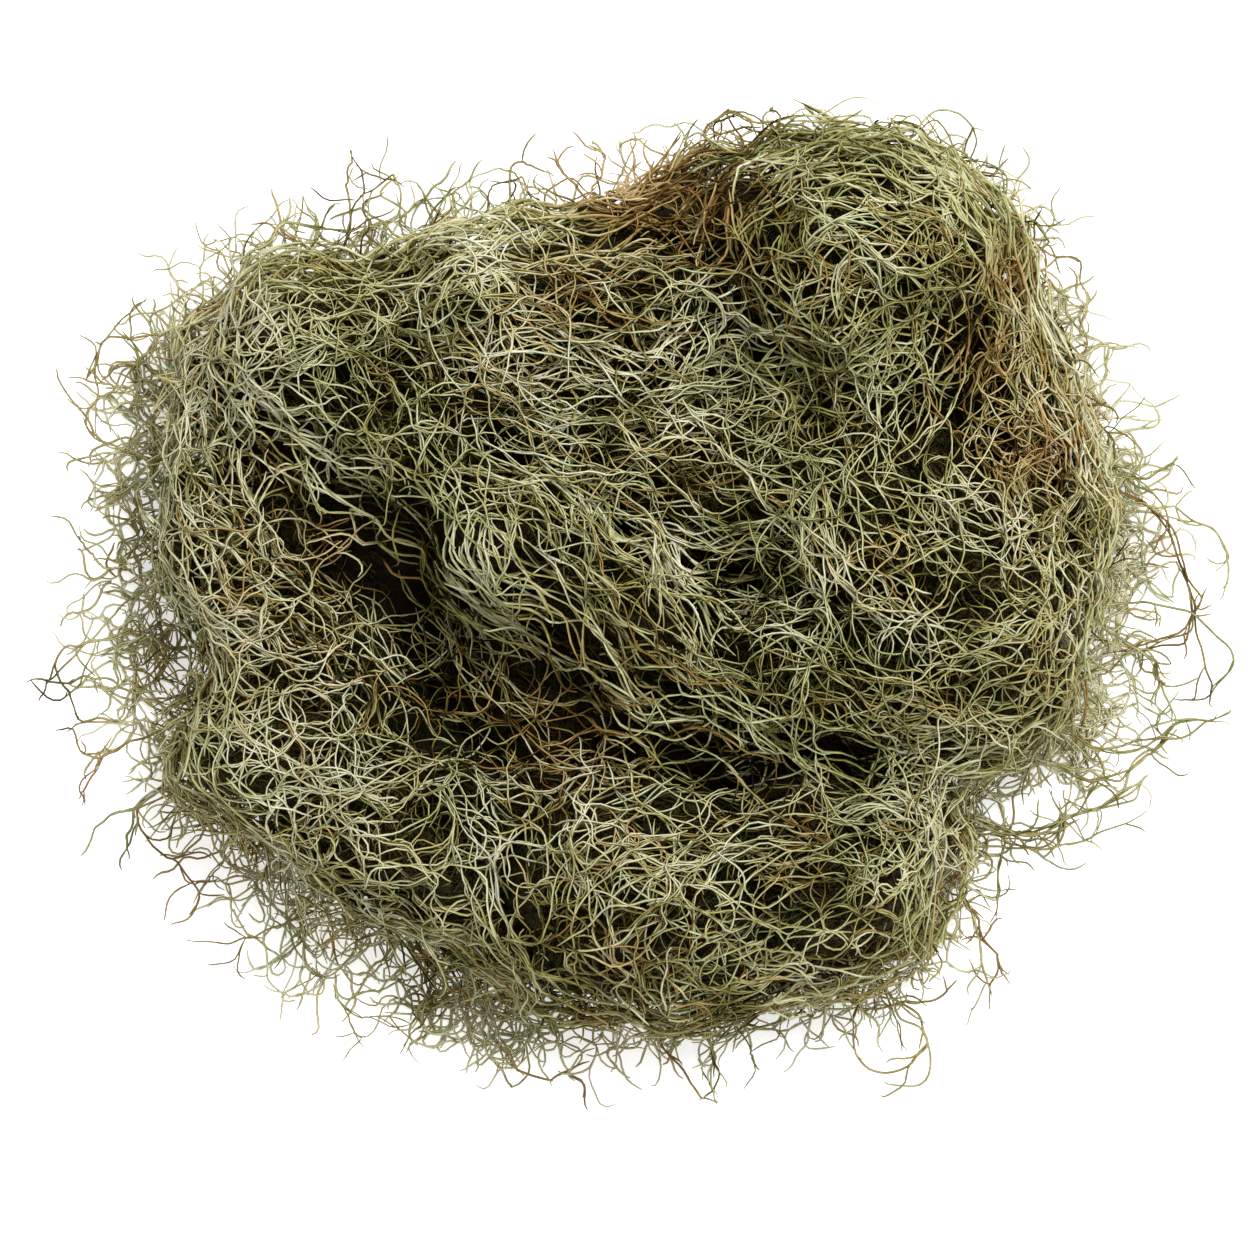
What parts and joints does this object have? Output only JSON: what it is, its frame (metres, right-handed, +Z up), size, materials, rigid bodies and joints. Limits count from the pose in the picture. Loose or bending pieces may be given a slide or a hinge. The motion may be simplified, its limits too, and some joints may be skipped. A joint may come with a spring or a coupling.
{
  "type": "spanish moss bunch",
  "caption": "Loose springy bunch of dried Spanish moss: wads of wiry grey-green strands with dead brown ones in the hollows, lying flat.",
  "frame": {"origin": "on the surface that the bunch rests on, under the middle of its outline with the longest strays", "axes": "+X along the bunch's length, +Y across it towards the tall knot, +Z up"},
  "size_m": [0.3044, 0.2513, 0.0923],
  "materials": {
    "sage": "matt, wiry dried plant fibre with a slight scaly sheen",
    "pale_sage": "matt, bleached wiry plant fibre",
    "deep_sage": "matt, darker olive plant fibre",
    "dead_brown": "matt, dead brown plant fibre",
    "dark_brown": "matt, dead dark brown plant fibre, deep in the hollows"
  },
  "bodies": {
    "root": {"drape_middle": "pale_sage", "knot_back_right": "sage", "mound_right": "sage", "saddle_middle": "sage", "swath_back": "pale_sage", "clump_back_left": "sage", "roll_left": "pale_sage", "mat_front_left": "deep_sage", "swirl_front": "sage", "rim_right": "deep_sage", "brown_right": "dead_brown", "brown_back": "dead_brown", "brown_middle": "dark_brown", "brown_left": "dark_brown"}
  },
  "joints": []
}
